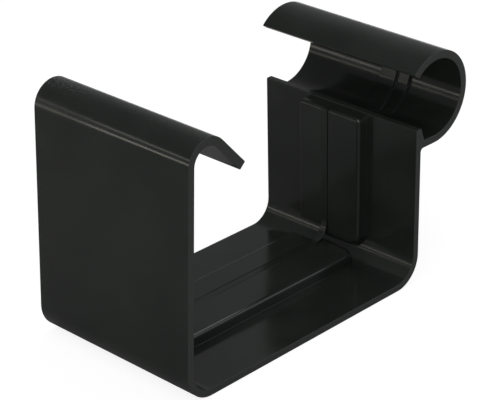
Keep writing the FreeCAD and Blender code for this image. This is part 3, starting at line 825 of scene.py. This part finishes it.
def floor_material(look):
    """A pale matt floor that glossy things mirror as a darker one, which is paler far behind."""
    board = NodeBoard(bpy.data.materials.new("pale_floor"))
    place = board.add("ShaderNodeTexCoord").outputs["Object"]
    ray = board.add("ShaderNodeLightPath").outputs
    away = (-math.sin(look.camera_turn), math.cos(look.camera_turn), 0.0)
    depth = board.add("ShaderNodeVectorMath", {0: place, 1: away}, operation="DOT_PRODUCT").outputs["Value"]
    mirrored = board.mix(board.ramp(depth, *DEPTH_SPAN, 0.0, 1.0), look.floor_sheen, look.floor_far)
    shade = board.mix(ray["Is Glossy Ray"], look.floor, mirrored)
    matt = board.add("ShaderNodeBsdfPrincipled", {"Base Color": shade, "Roughness": FLOOR_ROUGH,
                                                  "Specular IOR Level": 0.0})
    white = board.add("ShaderNodeEmission", {"Strength": GLOW_STRENGTH})
    glow = board.work("MULTIPLY", ray["Is Camera Ray"], look.floor_glow)
    return board.finish(board.add("ShaderNodeMixShader", {0: glow, 1: matt.outputs[0], 2: white.outputs[0]}))


def surroundings(look):
    """A room that is lighter low down all round and towards the backdrop at the front wall's side."""
    board = NodeBoard(bpy.data.worlds.new("surroundings"))
    toward = board.add("ShaderNodeTexCoord").outputs["Generated"]
    _, behind, height = board.add("ShaderNodeSeparateXYZ", {"Vector": toward}).outputs
    low = board.ramp(height, *LOW_SPAN, 0.0, 1.0)
    backdrop = board.ramp(behind, *BACKDROP_SPAN, 0.0, 1.0)
    shade = board.mix(board.work("MAXIMUM", low, backdrop), look.dim, look.surroundings)
    return board.finish(board.add("ShaderNodeBackground", {"Color": shade}), "ShaderNodeOutputWorld")


# Operators


class BuildChannel(bpy.types.Operator):
    """Build the channel with its bead socket, roll and back flange."""

    bl_idname = "connector.build_channel"
    bl_label = "Channel"

    def execute(self, context):
        add_piece(context, "channel_shell", [channel_surface(context.scene.connector_channel)])
        return {"FINISHED"}


class BuildRib(bpy.types.Operator):
    """Build the rib that the two gutter ends stop against."""

    bl_idname = "connector.build_rib"
    bl_label = "Centre rib"

    def execute(self, context):
        scene = context.scene
        add_piece(context, "centre_rib", [rib_surface(scene.connector_channel, scene.connector_band)])
        return {"FINISHED"}


class BuildPads(bpy.types.Operator):
    """Build the raised pads on both sides of the rib."""

    bl_idname = "connector.build_pads"
    bl_label = "Raised pads"

    def execute(self, context):
        scene = context.scene
        add_piece(context, "raised_pads", pad_surfaces(scene.connector_channel, scene.connector_band))
        return {"FINISHED"}


class BuildCollar(bpy.types.Operator):
    """Build the stepped collar inside the bead socket."""

    bl_idname = "connector.build_collar"
    bl_label = "Bead collar"

    def execute(self, context):
        scene = context.scene
        add_piece(context, "bead_collar", [collar_surface(scene.connector_channel, scene.connector_collar)])
        return {"FINISHED"}


def view_back(look):
    """Unit vector from the connector to the camera, at the camera's turn and rise."""
    level = math.cos(look.camera_rise)
    return Vector((math.sin(look.camera_turn) * level, -math.cos(look.camera_turn) * level,
                   math.sin(look.camera_rise)))


def add_lamp(context, name, place, aim, size, watts, tint=WHITE):
    """A flat rectangular lamp of a width and height that faces its aim."""
    lamp = bpy.data.lights.new(name, "AREA")
    lamp.shape = "RECTANGLE"
    lamp.size, lamp.size_y = size
    lamp.energy, lamp.color = watts, tint
    holder = bpy.data.objects.new(name, lamp)
    holder.location = place
    holder.visible_camera = False
    holder.rotation_euler = (Vector(aim) - Vector(place)).to_track_quat("-Z", "Y").to_euler()
    context.scene.collection.objects.link(holder)


def add_strip(context, name, height, watts, tint):
    """A strip lamp on the back wall's side, in two parts that share its power by their lengths and gains."""
    toward = Vector((math.sin(STRIP_TURN), -math.cos(STRIP_TURN), 0.0))
    beside = Vector((math.cos(STRIP_TURN), math.sin(STRIP_TURN), 0.0))
    for start, end, gain in STRIP_PARTS:
        level = Vector((0.0, 0.0, height)) + (start + end) / 2 * beside
        add_lamp(context, name, level + STRIP_DISTANCE * toward, level, (end - start, STRIP_WIDTH),
                 gain * watts * (end - start) / STRIP_FULL, tint)


class BuildStage(bpy.types.Operator):
    """Build the pale floor, the soft lamps and the camera."""

    bl_idname = "connector.build_stage"
    bl_label = "Stage"

    def execute(self, context):
        scene = context.scene
        look = scene.connector_stage
        self.add_floor(context, look)
        self.add_lamps(context, look)
        self.add_camera(context, look)
        scene.view_settings.view_transform = "Standard"
        return {"FINISHED"}

    def add_floor(self, context, look):
        """A flat square, a hair below the connector's underside."""
        mesh = bpy.data.meshes.new("floor")
        corners = FLOOR_HALF * np.array([[-1, -1], [1, -1], [1, 1], [-1, 1]])
        level = np.full((len(corners), 1), CAD_LOW.z - FLOOR_DROP)
        mesh.from_pydata(np.hstack([corners, level]).tolist(), [], [[0, 1, 2, 3]])
        mesh.materials.append(floor_material(look))
        floor = bpy.data.objects.new("floor", mesh)
        context.scene.collection.objects.link(floor)

    def add_lamps(self, context, look):
        """The surroundings, a wide lamp overhead, one by the camera, a small one behind, and two strips."""
        context.scene.world = surroundings(look)
        add_lamp(context, "overhead_lamp", OVERHEAD_PLACE, OVERHEAD_AIM, OVERHEAD_SIZE, look.overhead)
        add_lamp(context, "fill_lamp", FILL_DISTANCE * view_back(look), LAMP_AIM, FILL_SIZE, look.fill)
        add_lamp(context, "side_lamp", SIDE_PLACE, LAMP_AIM, SIDE_SIZE, look.side)
        add_strip(context, "low_strip", LOW_STRIP_HEIGHT, look.low_strip, look.strip_tint)
        add_strip(context, "high_strip", HIGH_STRIP_HEIGHT, look.high_strip, look.strip_tint)

    def add_camera(self, context, look):
        """A camera at the given turn and rise round a point a little beside the connector's middle."""
        back = view_back(look)
        right = Vector((0.0, 0.0, 1.0)).cross(back).normalized()
        up = back.cross(right)
        aim = Vector((0.0, 0.0, look.aim_height)) + look.aim_right * right - look.aim_down * up
        camera = bpy.data.cameras.new("camera")
        camera.lens, camera.sensor_width = look.lens, SENSOR_WIDTH
        camera.clip_start = CLIP_START
        holder = bpy.data.objects.new("camera", camera)
        axes = Matrix((right, up, back)).transposed()
        holder.matrix_world = Matrix.Translation(aim + look.camera_distance * back) @ axes.to_4x4()
        context.scene.collection.objects.link(holder)
        context.scene.camera = holder


class ConnectorPanel(bpy.types.Panel):
    """Lists the connector's settings and the buttons that build its pieces."""

    bl_idname = "VIEW3D_PT_connector"
    bl_label = "Box gutter connector"
    bl_space_type = "VIEW_3D"
    bl_region_type = "UI"
    bl_category = "Connector"

    def draw(self, context):
        for operator in OPERATORS:
            self.layout.operator(operator.bl_idname)
        for holder in SETTINGS:
            box = self.layout.box()
            group = getattr(context.scene, holder)
            for key in group.__annotations__:
                box.prop(group, key)


SETTINGS = {
    "connector_channel": ChannelSizes,
    "connector_band": BandSizes,
    "connector_collar": CollarSizes,
    "connector_plastic": PlasticLook,
    "connector_stage": StageLook,
}
OPERATORS = (BuildChannel, BuildRib, BuildPads, BuildCollar, BuildStage)


def register():
    """Make the settings, buttons and panel known to Blender."""
    for group in SETTINGS.values():
        bpy.utils.register_class(group)
    for holder, group in SETTINGS.items():
        setattr(bpy.types.Scene, holder, bpy.props.PointerProperty(type=group))
    for made in (*OPERATORS, ConnectorPanel):
        bpy.utils.register_class(made)


def unregister():
    """Take them away again."""
    for made in (ConnectorPanel, *reversed(OPERATORS)):
        bpy.utils.unregister_class(made)
    for holder, group in SETTINGS.items():
        delattr(bpy.types.Scene, holder)
        bpy.utils.unregister_class(group)


def main():
    """Register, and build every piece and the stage."""
    register()
    for operator in OPERATORS:
        area, action = operator.bl_idname.split(".")
        getattr(getattr(bpy.ops, area), action)()


if __name__ == "__main__":
    main()
